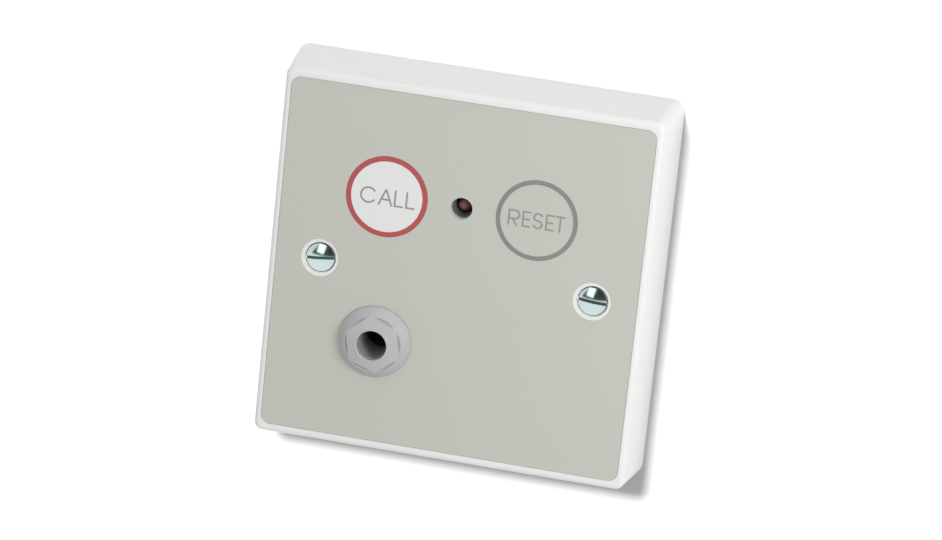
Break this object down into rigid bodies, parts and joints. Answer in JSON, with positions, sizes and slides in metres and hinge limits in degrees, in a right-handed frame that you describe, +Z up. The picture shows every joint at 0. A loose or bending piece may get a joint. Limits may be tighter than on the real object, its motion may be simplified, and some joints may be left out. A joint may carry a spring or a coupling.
{
  "type": "nurse call button",
  "caption": "Square wall plate call point with two push areas under a printed film, a red indicator light and a socket for a remote lead.",
  "frame": {"origin": "centre of the plate's rear rim, in the plane of the wall", "axes": "+X to the right seen from the room, +Y into the wall, +Z up"},
  "size_m": [0.086, 0.0387, 0.086],
  "materials": {
    "plate_white": "white moulded urea, soft gloss",
    "film_grey": "printed polyester film, fine matt grain",
    "print_white": "white print",
    "print_red": "red print",
    "print_grey": "grey print",
    "pusher_white": "natural acetal",
    "nut_grey": "grey moulded nylon, satin",
    "jack_grey": "grey moulded housing",
    "contact_silver": "plated spring metal",
    "board_green": "glass fibre board with green lacquer",
    "switch_black": "black moulded base",
    "switch_steel": "pressed cover",
    "plunger_black": "black moulded post",
    "lamp_red": "clear red resin",
    "spacer_black": "black nylon",
    "screw_zinc": "bright zinc plate",
    "terminal_green": "green moulded housing",
    "clamp_brass": "nickel plated brass",
    "chip_black": "moulded epoxy",
    "resistor_black": "glazed film",
    "ceramic_tan": "fired ceramic",
    "can_blue": "sleeved aluminium can"
  },
  "bodies": {
    "plate": {"front_plate": "plate_white", "overlay_film": "film_grey", "call_disc_print": "print_white", "call_ring_print": "print_red", "reset_ring_print": "print_grey", "circuit_board": "board_green", "indicator_lens": "lamp_red", "indicator_leads": "contact_silver", "indicator_spacer": "spacer_black", "wall_screws": "screw_zinc", "board_screws": "screw_zinc", "jack_body": "jack_grey", "jack_back_cover": "jack_grey", "jack_nut": "nut_grey", "jack_tip_contact": "contact_silver", "jack_ring_contact": "contact_silver", "jack_sleeve_contact": "contact_silver", "terminal_housing": "terminal_green", "terminal_clamps": "clamp_brass", "terminal_screws": "screw_zinc", "terminal_pins": "contact_silver", "control_chip": "chip_black", "control_chip_legs": "contact_silver", "board_resistors": "resistor_black", "board_capacitors": "ceramic_tan", "smoothing_capacitor": "can_blue", "capacitor_leads": "contact_silver", "call_switch_base": "switch_black", "call_switch_cover": "switch_steel", "call_switch_dome": "switch_steel", "call_switch_leads": "contact_silver", "reset_switch_base": "switch_black", "reset_switch_cover": "switch_steel", "reset_switch_dome": "switch_steel", "reset_switch_leads": "contact_silver"},
    "call_button": {"call_pusher": "pusher_white", "call_switch_plunger": "plunger_black"},
    "reset_button": {"reset_pusher": "pusher_white", "reset_switch_plunger": "plunger_black"}
  },
  "joints": [
    {"name": "call_press", "type": "slide", "parent": "plate", "child": "call_button", "axis": [0, 1, 0], "range_m": [0, 0.0003], "stiffness_N_per_m": 3500},
    {"name": "reset_press", "type": "slide", "parent": "plate", "child": "reset_button", "axis": [0, 1, 0], "range_m": [0, 0.0003], "stiffness_N_per_m": 3500}
  ]
}
